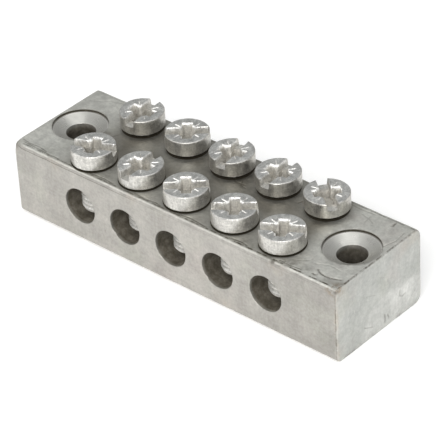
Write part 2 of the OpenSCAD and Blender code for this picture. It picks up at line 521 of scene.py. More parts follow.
HALF = math.pi / 2
z_front = span(R_LF, H - R_TF, STEP)          # going up the front face
y_top = span(-W2 + R_TF, W2 - R_TR, STEP)     # going back over the top
z_rear = span(H - R_TR, R_LR, STEP) if False else list(reversed(span(R_LR, H - R_TR, STEP)))
y_low = list(reversed(span(-W2 + R_LF, W2 - R_LR, 0.6)))
arc_tf = arc(-W2 + R_TF, H - R_TF, R_TF, math.pi, HALF, 5)
arc_tr = arc(W2 - R_TR, H - R_TR, R_TR, HALF, 0, 6)
arc_lr = arc(W2 - R_LR, R_LR, R_LR, 0, -HALF, 6)
arc_lf = arc(-W2 + R_LF, R_LF, R_LF, -HALF, -math.pi, 5)


def outline():
    """the section's outline: point and outward normal, once round"""
    out = []
    for z in z_front[:-1]:
        out.append(((-W2, z), (-1, 0)))
    for i, p in enumerate(arc_tf[:-1]):
        a = math.pi + (HALF - math.pi) * i / 5
        out.append((p, (math.cos(a), math.sin(a))))
    for y in y_top[:-1]:
        out.append(((y, H), (0, 1)))
    for i, p in enumerate(arc_tr[:-1]):
        a = HALF - HALF * i / 6
        out.append((p, (math.cos(a), math.sin(a))))
    for z in z_rear[:-1]:
        out.append(((W2, z), (1, 0)))
    for i, p in enumerate(arc_lr[:-1]):
        a = -HALF * i / 6
        out.append((p, (math.cos(a), math.sin(a))))
    for y in y_low[:-1]:
        out.append(((y, 0.0), (0, -1)))
    for i, p in enumerate(arc_lf[:-1]):
        a = -HALF - HALF * i / 5
        out.append((p, (math.cos(a), math.sin(a))))
    return out


def rect_loop(us, v0, v1, vs):
    """rectangle boundary from station lists, anticlockwise"""
    lo_, hi_ = us[0], us[-1]
    return ([(u, v0) for u in us[:-1]] + [(hi_, v) for v in vs[:-1]]
            + [(u, v1) for u in reversed(us[1:])] + [(lo_, v) for v in reversed(vs[1:])])


# scratches on the top face: (x, y) points, half width, depth, darkness (mm)
SCRATCHES = [
    ([(32.9, -9.0), (33.5, -9.4), (34.2, -9.6), (35.1, -9.7), (36.0, -9.6), (37.1, -9.25), (38.1, -8.8)], 0.17, 0.10, 0.95),
    ([(32.7, -10.3), (33.1, -10.4), (33.5, -10.3)], 0.20, 0.10, 0.9),
    ([(30.3, 7.3), (30.2, 8.1), (30.0, 9.4)], 0.13, 0.03, 0.24),
    ([(28.3, 9.0), (30.3, 8.6), (31.8, 7.8)], 0.12, 0.03, 0.22),
    ([(24.2, 10.35), (27.0, 10.1), (30.5, 10.3)], 0.12, 0.04, 0.35),
    ([(35.0, 9.4), (34.9, 10.3)], 0.20, 0.12, 0.85),
    ([(1.6, 4.2), (3.2, 3.2), (5.4, 3.3)], 0.16, 0.06, 0.65),
    ([(4.1, 4.2), (4.8, 2.9), (6.3, 2.5)], 0.12, 0.05, 0.55),
    ([(16.9, 4.9), (17.5, 6.4), (17.4, 7.9)], 0.14, 0.06, 0.6),
    ([(-38.4, -10.2), (-36.5, -10.5), (-34.2, -10.3), (-31.8, -10.7)], 0.13, 0.06, 0.55),
    ([(-37.6, -10.75), (-35.0, -10.85), (-31.2, -11.05), (-28.0, -11.1)], 0.12, 0.06, 0.6),
    ([(-20.5, -11.0), (-17.0, -10.75), (-14.5, -11.05)], 0.11, 0.05, 0.5),
    ([(-8.9, -10.9), (-6.2, -11.1), (-3.8, -10.8), (-2.6, -11.1)], 0.12, 0.05, 0.6),
    ([(2.0, -10.95), (4.8, -10.7), (8.4, -11.1)], 0.13, 0.05, 0.65),
    ([(14.0, -11.05), (16.6, -10.7), (18.2, -10.95)], 0.15, 0.07, 0.75),
    ([(25.6, -10.8), (28.2, -10.9), (30.6, -10.6)], 0.14, 0.06, 0.75),
    ([(27.4, -9.2), (29.0, -8.4), (30.1, -7.2)], 0.09, 0.03, 0.35),
    ([(-36.8, 7.9), (-34.0, 9.6), (-31.5, 10.4)], 0.09, 0.03, 0.30),
    ([(-27.2, -1.4), (-25.6, 0.4), (-24.8, 1.9)], 0.10, 0.03, 0.35),
    ([(37.6, 3.4), (38.3, 6.2), (38.0, 8.8)], 0.09, 0.04, 0.40),
    ([(31.2, -7.8), (33.8, -6.7), (36.2, -6.9)], 0.08, 0.03, 0.30),
]


# marks on the right end face: (y, z) points; a negative darkness is a bright scratch
END_MARKS = [
    ([(1.35, 2.9), (1.55, 2.2), (1.5, 1.3)], 0.20, 0.06, 0.45),
    ([(2.3, 2.4), (2.6, 1.5)], 0.17, 0.05, 0.38),
    ([(5.9, 5.7), (5.75, 4.6), (6.6, 4.0), (7.2, 4.2)], 0.16, 0.04, 0.25),
    ([(-6.45, 13.5), (-6.5, 11.6)], 0.10, 0.03, -0.7),
    ([(1.6, 14.6), (1.65, 13.0)], 0.10, 0.03, -0.6),
    ([(-7.05, 8.9), (-6.95, 7.9)], 0.09, 0.03, -0.5),
    ([(0.2, 12.0), (2.9, 10.6)], 0.07, 0.03, -0.3),
    ([(-4.2, 3.2), (-2.0, 2.2)], 0.10, 0.04, 0.28),
    ([(9.3, 2.6), (10.4, 3.4)], 0.10, 0.04, 0.2),
    ([(-3.6, 9.8), (-1.0, 8.7)], 0.08, 0.03, 0.12),
]


def along(line, holes):
    """fine points beside one scratch, so that its groove is real"""
    pts, w = line[0], line[1]
    out = []
    for (ax, ay), (bx, by) in zip(pts, pts[1:]):
        n = max(2, int(math.hypot(bx - ax, by - ay) / 0.22))
        ln = math.hypot(bx - ax, by - ay)
        nx, ny = -(by - ay) / ln, (bx - ax) / ln
        for i in range(n):
            for k in (-1.6, -0.8, 0.0, 0.8, 1.6):
                q = (ax + (bx - ax) * i / n + nx * w * k, ay + (by - ay) * i / n + ny * w * k)
                if all((q[0] - a) ** 2 + (q[1] - b) ** 2 > (r + 0.12) ** 2 for a, b, r in holes):
                    if all(abs(q[0] - o[0]) + abs(q[1] - o[1]) > 0.05 for o in out[-12:]):
                        out.append(q)
    return out


def scratch_at(x, y, lines=SCRATCHES):
    """(depth, darkness) of the scratches at a point of the face"""
    best = (0.0, 0.0)
    for pts, w, deep, dark in lines:
        if not (min(q[0] for q in pts) - 0.5 < x < max(q[0] for q in pts) + 0.5
                and min(q[1] for q in pts) - 0.5 < y < max(q[1] for q in pts) + 0.5):
            continue
        dist = 9.0
        for (ax, ay), (bx, by) in zip(pts, pts[1:]):
            ux, uy = bx - ax, by - ay
            t = max(0.0, min(1.0, ((x - ax) * ux + (y - ay) * uy) / (ux * ux + uy * uy)))
            dist = min(dist, math.hypot(x - ax - ux * t, y - ay - uy * t))
        k = smooth(w * 1.5, w * 0.3, dist)
        if k * abs(dark) > abs(best[1]):
            best = (k * deep, k * dark)
    return best


def build_bar():
    s = Shell()
    ol = outline()
    # long faces
    bores = [(x, BORE_Z, BORE_R + RIM) for x in WAYS]
    bore_loops = [ring(x, BORE_Z, BORE_R + RIM, NB, -HALF) for x in WAYS]

    def clear(holes):
        return lambda a, b: all((a - hx) ** 2 + (b - hy) ** 2 > (r * 0.996) ** 2 for hx, hy, r in holes)

    s.patch(rect_loop(xs, z_front[0], z_front[-1], z_front), bore_loops,
            field(-X0, X0, z_front[0], z_front[-1], STEP, bores), lambda a, b: (a, -W2, b), clear(bores))
    zr = list(reversed(z_rear))
    s.patch(rect_loop(xs, zr[0], zr[-1], zr), bore_loops,
            field(-X0, X0, zr[0], zr[-1], STEP * 1.15, bores), lambda a, b: (a, W2, b), clear(bores), flip=True)
    # top
    screws = [hole_at(i, q) + (HOLE_R + 0.2,) for i in range(5) for q in (0, 1)]
    recs = [(x, 0.0, REC_R + 0.06) for x in (-FIX_X, FIX_X)]
    loops = [ring(a, b, r, NS) for a, b, r in screws] + [ring(a, b, r, NR) for a, b, r in recs]
    fine = []
    for line in SCRATCHES:
        fine += along(line, screws + recs)
    coarse = [q for q in field(-X0, X0, y_top[0], y_top[-1], STEP, screws + recs)
              if all(abs(q[0] - f[0]) > 0.16 or abs(q[1] - f[1]) > 0.16 for f in fine)]
    s.patch(rect_loop(xs, y_top[0], y_top[-1], y_top), loops, coarse + fine, lambda a, b: (a, b, H),
            clear(screws + recs))
    # underside
    low = [(x, 0.0, FIX_R + 0.3) for x in (-FIX_X, FIX_X)]
    yl = list(reversed(y_low))
    s.patch(rect_loop(xs, yl[0], yl[-1], yl), [ring(a, b, r, NR) for a, b, r in low],
            field(-X0, X0, yl[0], yl[-1], 0.6, low), lambda a, b: (a, b, 0.0), clear(low), flip=True)
    # rounded long edges
    for a in (arc_tf, arc_tr, arc_lr, arc_lf):
        s.grid([[(x, p[0], p[1]) for x in xs] for p in a])
    # eased end edges and the end faces
    for sx in (-1, 1):
        rows = []
        for k in range(4):
            t = HALF * k / 3
            rows.append([(sx * (X0 + E * math.sin(t)), p[0] - n[0] * E * (1 - math.cos(t)),
                          p[1] - n[1] * E * (1 - math.cos(t))) for p, n in ol])
        s.grid(rows, closed=True, flip=(sx > 0))
        loop = [(q[1], q[2]) for q in rows[-1]]

        def inside_outline(a, b):
            return -W2 + E < a < W2 - E and E < b < H - E

        pts = []
        for a, b in field(-W2 + E, W2 - E, E, H - E, STEP, []):
            d = min(math.hypot(a - q[0], b - q[1]) for q in loop)
            corner_ok = True
            for cy, cz, r, sy, sz in ((-W2 + R_TF, H - R_TF, R_TF, -1, 1), (W2 - R_TR, H - R_TR, R_TR, 1, 1),
                                      (W2 - R_LR, R_LR, R_LR, 1, -1), (-W2 + R_LF, R_LF, R_LF, -1, -1)):
                if (a - cy) * sy > 0 and (b - cz) * sz > 0 and math.hypot(a - cy, b - cz) > r - E - 0.1:
                    corner_ok = False
            if corner_ok and d > STEP * 0.45:
                pts.append((a, b))
        if sx > 0:
            fine = []
            for line in END_MARKS:
                fine += along(line, [])
            pts = [q for q in pts if all(abs(q[0] - o[0]) > 0.16 or abs(q[1] - o[1]) > 0.16 for o in fine)] + fine
        s.patch(loop, [], pts, lambda a, b, q=sx * L2: (q, a, b), inside_outline, flip=(sx < 0))
    # bore mouths and walls
    ys = span(-W2 + RIM, W2 - RIM, 0.72)
    for way, x in enumerate(WAYS):
        holes = [hole_at(way, 0), hole_at(way, 1)]
        for sy in (-1, 1):
            rows = []
            for k in range(4):
                t = HALF * k / 3
                rr = BORE_R + RIM * (1 - math.sin(t))
                yy = sy * (W2 - RIM * (1 - math.cos(t)))
                rows.append([(a, yy, b) for a, b in ring(x, BORE_Z, rr, NB, -HALF)])
            s.grid(rows, closed=True)
        # unrolled wall: u along the arc from the bottom seam, v along the bore
        us = [BORE_R * 2 * math.pi * i / NB for i in range(NB + 1)]
        uc = BORE_R * math.pi
        loops = []
        for xc, yc in holes:
            lp = []
            for i in range(NS):
                a = 2 * math.pi * i / NS
                dx = xc - x + HOLE_R * math.cos(a)
                # angle from the crown, towards +x; the seam is at the bottom
                th = math.asin(dx / BORE_R)
                lp.append((uc - BORE_R * th, yc + HOLE_R * math.sin(a)))
            loops.append(lp)

        def wall(u, v, x=x):
            a = -HALF + u / BORE_R
            return (x + BORE_R * math.cos(a), v, BORE_Z + BORE_R * math.sin(a))

        def off_holes(u, v, holes=holes, x=x):
            dx = x + BORE_R * math.sin((uc - u) / BORE_R)
            if abs(u - uc) > BORE_R * HALF:
                return True
            return all((dx - xc) ** 2 + (v - yc) ** 2 > (HOLE_R * 0.995) ** 2 for xc, yc in holes)

        inner = []
        for v in ys[1:-1]:
            for u in us[1:-1]:
                dx = x + BORE_R * math.sin((uc - u) / BORE_R)
                if abs(u - uc) < BORE_R * HALF and any(
                        (dx - xc) ** 2 + (v - yc) ** 2 < (HOLE_R + 0.15) ** 2 for xc, yc in holes):
                    continue
                inner.append((u, v))
        s.patch(rect_loop(us, ys[0], ys[-1], ys), loops, inner, wall, off_holes)
        # tapped holes: chamfer at the top, shallow thread grooves, down to the bore
        for xc, yc in holes:
            base = ring(xc, yc, 1.0, NS)
            rows = [[(xc + (p[0] - xc) * (HOLE_R + 0.2), yc + (p[1] - yc) * (HOLE_R + 0.2), H) for p in base],
                    [(xc + (p[0] - xc) * HOLE_R, yc + (p[1] - yc) * HOLE_R, H - 0.2) for p in base]]
            K = 14
            for k in range(1, K + 1):
                row = []
                for i, p in enumerate(base):
                    dx = xc - x + (p[0] - xc) * HOLE_R
                    zb = BORE_Z + math.sqrt(BORE_R ** 2 - dx * dx)
                    z = H - 0.2 + (zb - (H - 0.2)) * k / K
                    g = 0.0
                    if k < K:
                        g = 0.12 * max(0.0, math.sin(2 * math.pi * (z / 1.0 + i / NS)))
                    row.append((xc + (p[0] - xc) * (HOLE_R + g), yc + (p[1] - yc) * (HOLE_R + g), z))
                rows.append(row)
            s.grid(rows, closed=True)
    # fixing holes: eased mouth, straight lip, cone, bore, eased foot
    for x in (-FIX_X, FIX_X):
        prof = [(REC_R + 0.06, H), (REC_R + 0.02, H - 0.02), (REC_R, H - 0.06), (REC_R, H - 0.12), (REC_R, H - 0.25),
                (REC_R, H - 0.36), (REC_R - 0.005, H - REC_LIP + 0.03), (REC_R - 0.05, H - REC_LIP)]
        r0, z0, r1, z1 = REC_R - 0.05, H - REC_LIP, FIX_R + 0.06, H - REC_FOOT
        for k in range(1, 9):
            t = k / 8
            prof.append((r0 + (r1 - r0) * t, z0 + (z1 - z0) * t))
        prof += [(FIX_R + 0.015, H - REC_FOOT - 0.02), (FIX_R, H - REC_FOOT - 0.08)]
        for k in range(1, 15):
            t = k / 14
            z = H - REC_FOOT - 0.08 + (0.3 - (H - REC_FOOT - 0.08)) * t
            prof.append((FIX_R, z))
        prof += [(FIX_R + 0.1, 0.1), (FIX_R + 0.3, 0.0)]
        s.grid([[(a, b, z) for a, b in ring(x, 0.0, r, NR)] for r, z in prof], closed=True)
    return s


# places of single marks on the bar: x, y, z, reach, depth (mm, into the metal)
DENTS = [
    (-31.0, -12.0, 15.9, 1.4, 0.16), (-27.6, -12.0, 16.0, 0.9, 0.12), (-15.6, -12.0, 15.9, 1.1, 0.13),
    (-13.9, -12.0, 16.0, 0.6, 0.10), (12.6, -12.0, 16.0, 0.9, 0.16), (14.4, -11.9, 16.0, 0.7, 0.14),
    (18.6, -11.9, 16.0, 1.0, 0.15), (20.2, -12.0, 15.9, 0.6, 0.12), (24.4, -11.8, 16.0, 0.8, 0.10),
    (29.6, -12.0, 15.9, 1.2, 0.10), (39.2, -12.0, 15.6, 1.0, 0.20), (39.2, -11.2, 16.0, 0.8, 0.14),
    (39.2, 12.0, 15.4, 1.1, 0.12), (39.2, -3.0, 16.0, 0.8, 0.08), (39.2, 5.5, 16.0, 0.7, 0.08),
    (39.2, -12.0, 8.0, 0.8, 0.08), (39.2, -12.0, 2.2, 0.8, 0.12), (36.5, -12.0, 0.4, 0.9, 0.12),
    (31.0, 12.0, 15.9, 0.9, 0.14), (33.6, 11.9, 16.0, 0.6, 0.10), (39.2, 4.0, 0.3, 1.2, 0.10),
    (-39.2, -11.8, 15.8, 2.0, 0.30), (-38.2, -12.0, 15.9, 1.6, 0.18), (-39.2, 12.0, 15.6, 0.9, 0.10),
]


BURRS = [(-14.05, -12.0, 5.45, -11.4), (8.75, -12.0, 5.45, 11.4)]


def wear_bar(p, n):
    x, y, z = p
    d = 0.010 * n3(p, 0.16) + 0.006 * n3(p, 0.9, 2)
    # long edges and end edges are knocked about
    deep = 0.0
    ey, ez, ex = W2 - abs(y), min(z, H - z), L2 - abs(x)
    near = sorted((ey, ez, ex))
    edge = math.hypot(near[0], near[1])
    if edge < 1.3:
        k = 1 - edge / 1.3
        a = n3((x, y, z), 0.9, 4)
        b = n3((x, y, z), 2.6, 5)
        q = 0.35 if ex < 1.3 else 1.0
        deep += q * k * (0.045 * max(0.0, a + 0.1) + 0.05 * max(0.0, b - 0.05))
    for dx, dy, dz, r, h in DENTS:
        q = (x - dx) ** 2 + (y - dy) ** 2 + (z - dz) ** 2
        if q < r * r:
            deep += h * (1 - q / (r * r)) ** 2
    if z > H - 0.001:
        d -= scratch_at(x, y)[0]
    if x > L2 - 0.001:
        d -= scratch_at(y, z, END_MARKS)[0]
    # small burrs left in two bore mouths
    for bx, by, bz, cx in BURRS:
        q = (x - bx) ** 2 + 0.5 * (y - by) ** 2 + (z - bz) ** 2
        if q < 0.36:
            k = 0.26 * (1 - q / 0.36) ** 2
            u = Vector((cx - bx, 0, BORE_Z - bz)).normalized()
            p = p + u * k
    if deep:
        c = Vector((x * 0.985, y * 0.6, H / 2 + (z - H / 2) * 0.5))
        inward = (c - p)
        inward.x *= 0.15 if ex > 1.5 else 1.0
        p = p + inward.normalized() * deep
    return p + n * d


def bar_marks(me):
    """per-vertex masks and distances that the bar's material reads"""
    names = ("grime", "film_and_shade", "wear", "inside", "turned", "rad", "lip", "hd", "pale", "warm", "rust")
    out = {k: [] for k in names}
    heads = [hole_at(i, q) for i in range(5) for q in (0, 1)]
    for v in me.vertices:
        x, y, z = v.co
        up = smooth(0.75, 0.97, v.normal.z)
        ey, ez, ex = W2 - abs(y), min(z, H - z), L2 - abs(x)
        ins = 0.0
        for bx in WAYS:
            if math.hypot(x - bx, z - BORE_Z) < BORE_R + 0.07 and abs(y) < W2 + 0.1:
                ins = max(ins, smooth(0.05, 0.2, W2 - abs(y)))
        fr = min(math.hypot(x - FIX_X, y), math.hypot(x + FIX_X, y))
        if fr < FIX_R + 0.1 and z < H - REC_FOOT + 0.05:
            ins = max(ins, smooth(0.0, 0.18, H - REC_FOOT - z))
        turned = lip = 0.0
        if FIX_R - 0.03 < fr < REC_R + 0.03 and H - REC_FOOT - 0.1 < z < H - 0.03:
            turned = smooth(REC_FOOT + 0.1, REC_FOOT - 0.05, H - z)
            # painted shade on the recess wall, lighter on its front part
            if fr > REC_R - 0.035:
                lip = smooth(0.03, 0.08, H - z) * (0.95 if y > -1 else 0.75)
        if FIX_R < fr < REC_R + 0.12 and z > H - REC_LIP - 0.12:
            # painted shadow on the far side of the wall's foot and on its rim
            hx = FIX_X if x > 0 else -FIX_X
            far = smooth(-0.3, 0.6, (-(x - hx) * 0.75 + y * 0.66) / fr)
            lip = max(lip, far * smooth(REC_R - 0.16, REC_R - 0.04, fr) * (0.75 if z < H - 0.3 else 0.0))
            lip = max(lip, 0.5 * far * smooth(REC_R + 0.12, REC_R + 0.02, fr) * (1.0 if z > H - 0.1 else 0.0))
        hd = min(math.hypot(x - hx, y - hy) for hx, hy in heads)
        if z > H - 0.5 and hd < HOLE_R + 0.22:
            ins = max(ins, smooth(0.02, 0.2, H - z))
        elif BORE_Z < z < H - 0.3 and hd < HOLE_R + 0.2:
            ins = 1.0
        g = film_and_shade = 0.0
        if up > 0 and z > H - 1.2:
            # stained between the screws, cleaner towards both ends; painted shade round each head
            k = smooth(-31.5, -23.5, x) * smooth(29.0, 23.5, x)
            band = 1.0 - 0.38 * smooth(2.5, 7.5, -y) - 0.20 * smooth(7.0, 11.0, y)
            film_and_shade = k * band * (0.86 + 0.25 * n3((x, y, 0), 0.22, 21))
            # painted shade round each head, full within 4.7 mm of its centre and gone by 6.4 mm
            film_and_shade = max(film_and_shade, (0.28 + 0.2 * n3((x, y, 0), 0.4, 22)) * smooth(6.4, 4.7, hd))
            for sx, sy, r, h in ((0.0, 3.2, 4.2, 0.8), (24.6, 4.4, 1.8, 0.8), (4.6, 3.4, 1.8, 0.95), (-26.6, 0.6, 3.0, 0.7),
                                 (14.0, 4.6, 2.0, 0.55), (28.0, -8.8, 2.4, 0.45), (36.2, -10.6, 1.6, 0.35)):
                film_and_shade = max(film_and_shade, h * smooth(r, r * 0.25, math.hypot(x - sx, (y - sy) * 1.5)))
            film_and_shade *= up
            g = scratch_at(x, y)[1]
            # smudges near the front edge, heavier towards the right
            k = smooth(2.1, 0.2, abs(y + W2 - 1.5))
            n = n3((x, y * 0.5, 0), 0.42, 3) + 0.4 * n3((x, y, 0), 1.5, 4)
            g = max(g, k * smooth(-6, 26, x) * max(0.0, min(0.55, 0.10 + 0.9 * n)))
        w = 0.0
        if x > L2 - 0.3:
            q = scratch_at(y, z, END_MARKS)[1]
            g = max(g, q)
            w = max(0.0, -q)
            g = max(g, smooth(1.0, 0.1, z) * max(0.0, 0.5 * n3((0, y, z), 0.55, 14) + 0.1))
        # corners: top front right, and top front left
        g = max(g, 0.9 * smooth(1.3, 0.2, math.hypot(x - L2, y + W2, z - H)))
        if x < 0 and z > H / 2:
            g = max(g, 0.75 * smooth(1.7, 0.2, math.hypot(x + L2, y + W2 - 0.3, z - H)))
        # brown spot at the front edge beside the last screw
        g = max(g, 0.95 * smooth(0.8, 0.2, math.hypot(x - 24.7, y + 11.7, z - H)))
        pale = warm = rust = 0.0
        if x > L2 - 0.5:
            bound = 7.0 - 5.2 * math.exp(-max(0.0, y + 5.2) / 2.0) if y > -5.2 else 0.0
            pale = smooth(-0.7, 0.9, bound - z + 0.8 * n3((0, y, z), 0.5, 41)) * smooth(-5.8, -3.0, y)
            warm = 0.75 * smooth(-11.0, -11.8, y)
            warm = max(warm, 0.8 * smooth(-7.6, -10.6, y) * smooth(13.6, 15.2, z))
            warm = max(warm, 0.45 * smooth(5.0, 7.5, y) * smooth(12.6, 14.8, z))
        if z > H - 3.5 and x > L2 - 4.5 and y < -W2 + 3.5:
            rust = smooth(2.9, 0.4, math.hypot((x - L2) * 0.8, (y + W2) * 0.9, z - H))
        if y < -W2 + 0.7:
            for sx, sz in ((-28.4, 15.5), (12.2, 2.0), (25.8, 15.0), (-9.8, 15.5)):
                warm = max(warm, 0.55 * smooth(2.3, 0.3, math.hypot((x - sx) * 0.7, z - sz)))
        e = sorted((ey, ez, ex))
        e = math.hypot(e[0], e[1])
        w = max(w, smooth(0.55, 0.12, e) * (0.22 + 0.75 * n3((x, y, z), 0.7, 12)))
        g = max(0.0, min(1.0, g))
        out["grime"].append(g)
        out["film_and_shade"].append(max(0.0, min(1.0, film_and_shade)))
        out["wear"].append(max(0.0, min(1.0, w)) * (1 - 0.8 * g))
        out["inside"].append(min(1.0, ins))
        out["turned"].append(turned)
        out["rad"].append(fr)
        out["lip"].append(lip)
        # distance to the nearest head; 0.3 mm is added for the rear heads, which draws their painted shadow ring
        # further in
        out["hd"].append(hd + (0.30 if y > 0 else 0.0) if z > H - 1.0 else 9.0)
        out["pale"].append(max(0.0, pale))
        out["warm"].append(max(0.0, warm))
        out["rust"].append(rust)
    for name, vals in out.items():
        a = me.attributes.new(name, "FLOAT", "POINT")
        a.data.foreach_set("value", vals)


bar_mesh = build_bar().mesh("terminal_bar_detail", wear_bar)
bar_marks(bar_mesh)
bar = as_object(bar_mesh, "bar_block", "bar", "terminal_bar", BAR_MAT, 50)

# ------------------------------------------------------------------ screws


def slot_depth(w):
    """depth across the straight slot at half-width w: flat floor, leaning wall, broken edge"""
    w = abs(w)
    if w < SLOT_H - 0.12:
        return SLOT_T
    if w < SLOT_H:
        return SLOT_T + (0.07 - SLOT_T) * (w - SLOT_H + 0.12) / 0.12
    if w < SLOT_H + 0.08:
        return 0.07 * (1 - (w - SLOT_H) / 0.08)
    return 0.0


def wing_depth(t, w):
    """depth of one wing of the cross at distance t from the middle, w off its axis"""
    t, w = abs(t), abs(w)
    end, foot, h = 2.62, 2.05, WING_H
    d = CROSS_T if t < foot else max(0.0, CROSS_T * (end - t) / (end - foot))
    d = max(d, min(0.11, 0.11 * (2.74 - t) / 0.14))
    if w < h - 0.10:
        c = CROSS_T
    elif w < h:
        c = CROSS_T + (0.28 - CROSS_T) * (w - h + 0.10) / 0.10
    elif w < h + 0.24:
        c = 0.28 * (h + 0.24 - w) / 0.24
    else:
        c = 0.0
    return max(0.0, min(d, c))


def core_depth(x, y):
    u = abs(x + y) * 0.70711
    v = abs(x - y) * 0.70711
    m = max(u, v)
    if m < 1.15:
        return 2.35
    if m < 1.80:
        return 2.35 + (0.30 - 2.35) * (m - 1.15) / 0.65
    if m < 2.06:
        return 0.30 * (2.06 - m) / 0.26
    return 0.0


TICK_W = 0.15
UNDER = 0.06         # height of the head's underside, clear of the bar when screwed down


def tick_depth(x, y, jig):
    best = 0.0
    for k in range(4):
        a = math.radians(45 + 90 * k + jig[k])
        c, s = math.cos(a), math.sin(a)
        t = x * c + y * s
        w = abs(-x * s + y * c)
        if 1.6 < t < 3.5 and w < TICK_W:
            run = smooth(1.6, 1.9, t) * smooth(3.5, 3.0, t)
            best = max(best, 0.17 * (1 - w / TICK_W) * run)
    return best


LINES = sorted(set([round(s * v, 4) for s in (-1, 1) for v in
                    (0.75, 0.80, 0.85, 0.90, 0.94, 0.98, 1.02, 1.06, 1.10, 1.14, 1.18, 1.23, 1.30)]
                   + [round(s * (0.66 - 0.11 * k), 4) for k in range(7) for s in (-1, 1)]
                   + [round(s * (1.40 + 0.105 * k), 4) for k in range(25) for s in (-1, 1)]))


def make_screw(name, seed, turn, x, y, gap, node):
    s = Shell()
    jig = [3.0 * noise.noise(Vector((seed * 3.1 + k, 1.7, 0.3))) for k in range(4)]
    rim_r = 0.22
    angs = [2 * math.pi * i / 120 for i in range(120)]
    for w in (SLOT_H - 0.12, SLOT_H - 0.06, SLOT_H, SLOT_H + 0.08):
        a = math.asin(w / HEAD_R)
        angs += [a, math.pi - a, math.pi + a, 2 * math.pi - a]
    angs = sorted(angs)
    keepa = [angs[0]]
    for a in angs[1:]:
        if a - keepa[-1] > 0.004:
            keepa.append(a)
    angs = keepa

    def top(px, py):
        r = math.hypot(px, py)
        z = HEAD_H
        if r > HEAD_R - rim_r:
            q = min(1.0, (r - (HEAD_R - rim_r)) / rim_r)
            z -= rim_r * (1 - math.sqrt(max(0.0, 1 - q * q)))
        d = 0.0
        # edges bruised by the driver
        bx = 0.075 * noise.noise(Vector((px * 1.1, py * 1.1, seed))) + 0.04 * noise.noise(Vector((px * 3.1, py * 3.1, seed + 5)))
        by = 0.075 * noise.noise(Vector((py * 1.1, px * 1.1, seed + 2))) + 0.04 * noise.noise(Vector((py * 3.1, px * 3.1, seed + 7)))
        d = max(d, slot_depth(py + by * 0.8))
        d = max(d, wing_depth(px + bx, py + by), wing_depth(py + by, px + bx))
        d = max(d, core_depth(px + bx, py + by))
        d = max(d, tick_depth(px, py, jig))
        z = min(z, HEAD_H - d)
        z += 0.012 * noise.noise(Vector((px * 0.9 + seed, py * 0.9, seed))) * (1.0 if d < 0.1 else 0.5)
        return z

    radii = [HEAD_R, HEAD_R - 0.03, HEAD_R - 0.07, HEAD_R - 0.13, HEAD_R - 0.22, HEAD_R - 0.36]
    outer = [(HEAD_R * math.cos(a), HEAD_R * math.sin(a)) for a in angs]
    inner = []
    for r in radii[1:]:
        inner += [(r * math.cos(a), r * math.sin(a)) for a in angs]
    lim = HEAD_R - 0.48
    ticks = []
    for k in range(4):
        a = math.radians(45 + 90 * k + jig[k])
        c, q = math.cos(a), math.sin(a)
        for i in range(17):
            t = 1.62 + 1.9 * i / 16
            for w in (-TICK_W, -TICK_W / 2, 0.0, TICK_W / 2, TICK_W):
                ticks.append((t * c - w * q, t * q + w * c))
    inner += ticks
    for gx in LINES:
        for gy in LINES:
            if gx * gx + gy * gy < lim * lim:
                near = False
                if abs(abs(gx) - abs(gy)) < 0.9:
                    near = any(abs(gx - o[0]) < 0.055 and abs(gy - o[1]) < 0.055 for o in ticks)
                if not near:
                    inner.append((gx, gy))
    s.patch(outer, [], inner, lambda a, b: (a, b, top(a, b)), lambda a, b: True)
    # side of the head
    ztop = [top(*p) for p in outer]
    rows = []
    for k in range(8):
        t = k / 7
        rows.append([(p[0], p[1], zt + (0.14 - zt) * t) for p, zt in zip(outer, ztop)])
    rows.append([(p[0] * 0.990, p[1] * 0.990, UNDER + 0.04) for p in outer])
    rows.append([(p[0] * 0.972, p[1] * 0.972, UNDER) for p in outer])
    rows.append([(p[0] * 0.88, p[1] * 0.88, UNDER) for p in outer])
    rows.append([(p[0] * 0.80, p[1] * 0.80, UNDER) for p in outer])
    s.grid(rows, closed=True)
    # underside to neck: the neck ring has the thread's own corners
    NT = 56
    ta = [2 * math.pi * i / NT for i in range(NT)]
    # bridge between the two ring counts, done as a flat patch
    o2 = [(p[0] * 0.80, p[1] * 0.80) for p in outer]
    neck_r = 2.62
    s.patch(o2, [[(neck_r * math.cos(a), neck_r * math.sin(a)) for a in ta]], [],
            lambda a, b: (a, b, UNDER), lambda a, b: math.hypot(a, b) > neck_r * 0.99, flip=True)
    # threaded shank
    phase = noise.noise(Vector((seed, 9.0, 4.0))) * 3.0
    aside = min(abs(x - (k - 2) * 11.4) for k in range(5))

    def thread_r(z, a):
        t = (z + a / (2 * math.pi) + phase) % 1.0
        tri = 1 - abs(2 * t - 1)
        k = max(0.0, min(1.0, (tri - 0.14) / 0.70))
        r = 2.44 + 0.54 * k
        run = smooth(-0.25, -1.0, z)
        r = neck_r + (r - neck_r) * run
        # the tip is chamfered to pass the bore's lower walls when screwed down
        h = max(0.0, z + SCREW_L)
        wall = math.sqrt(BORE_R ** 2 - max(0.0, 2.58 - h) ** 2) - aside - 0.07
        return min(r, 2.50 + 1.5 * h, wall)

    rows = []
    nrow = 106
    for k in range(nrow + 1):
        z = UNDER - (SCREW_L + UNDER) * k / nrow
        rows.append([(thread_r(z, a) * math.cos(a), thread_r(z, a) * math.sin(a), z) for a in ta])
    for q, dz in ((0.9, 0.0), (0.55, 0.02), (0.2, 0.04)):
        r = thread_r(-SCREW_L, 0.0) * q
        rows.append([(r * math.cos(a), r * math.sin(a), -SCREW_L + dz) for a in ta])
    s.grid(rows, closed=True)
    c = s.add([(0, 0, -SCREW_L + 0.045)])
    base = c - NT
    for i in range(NT):
        s.f.append((base + i, base + (i + 1) % NT, c))

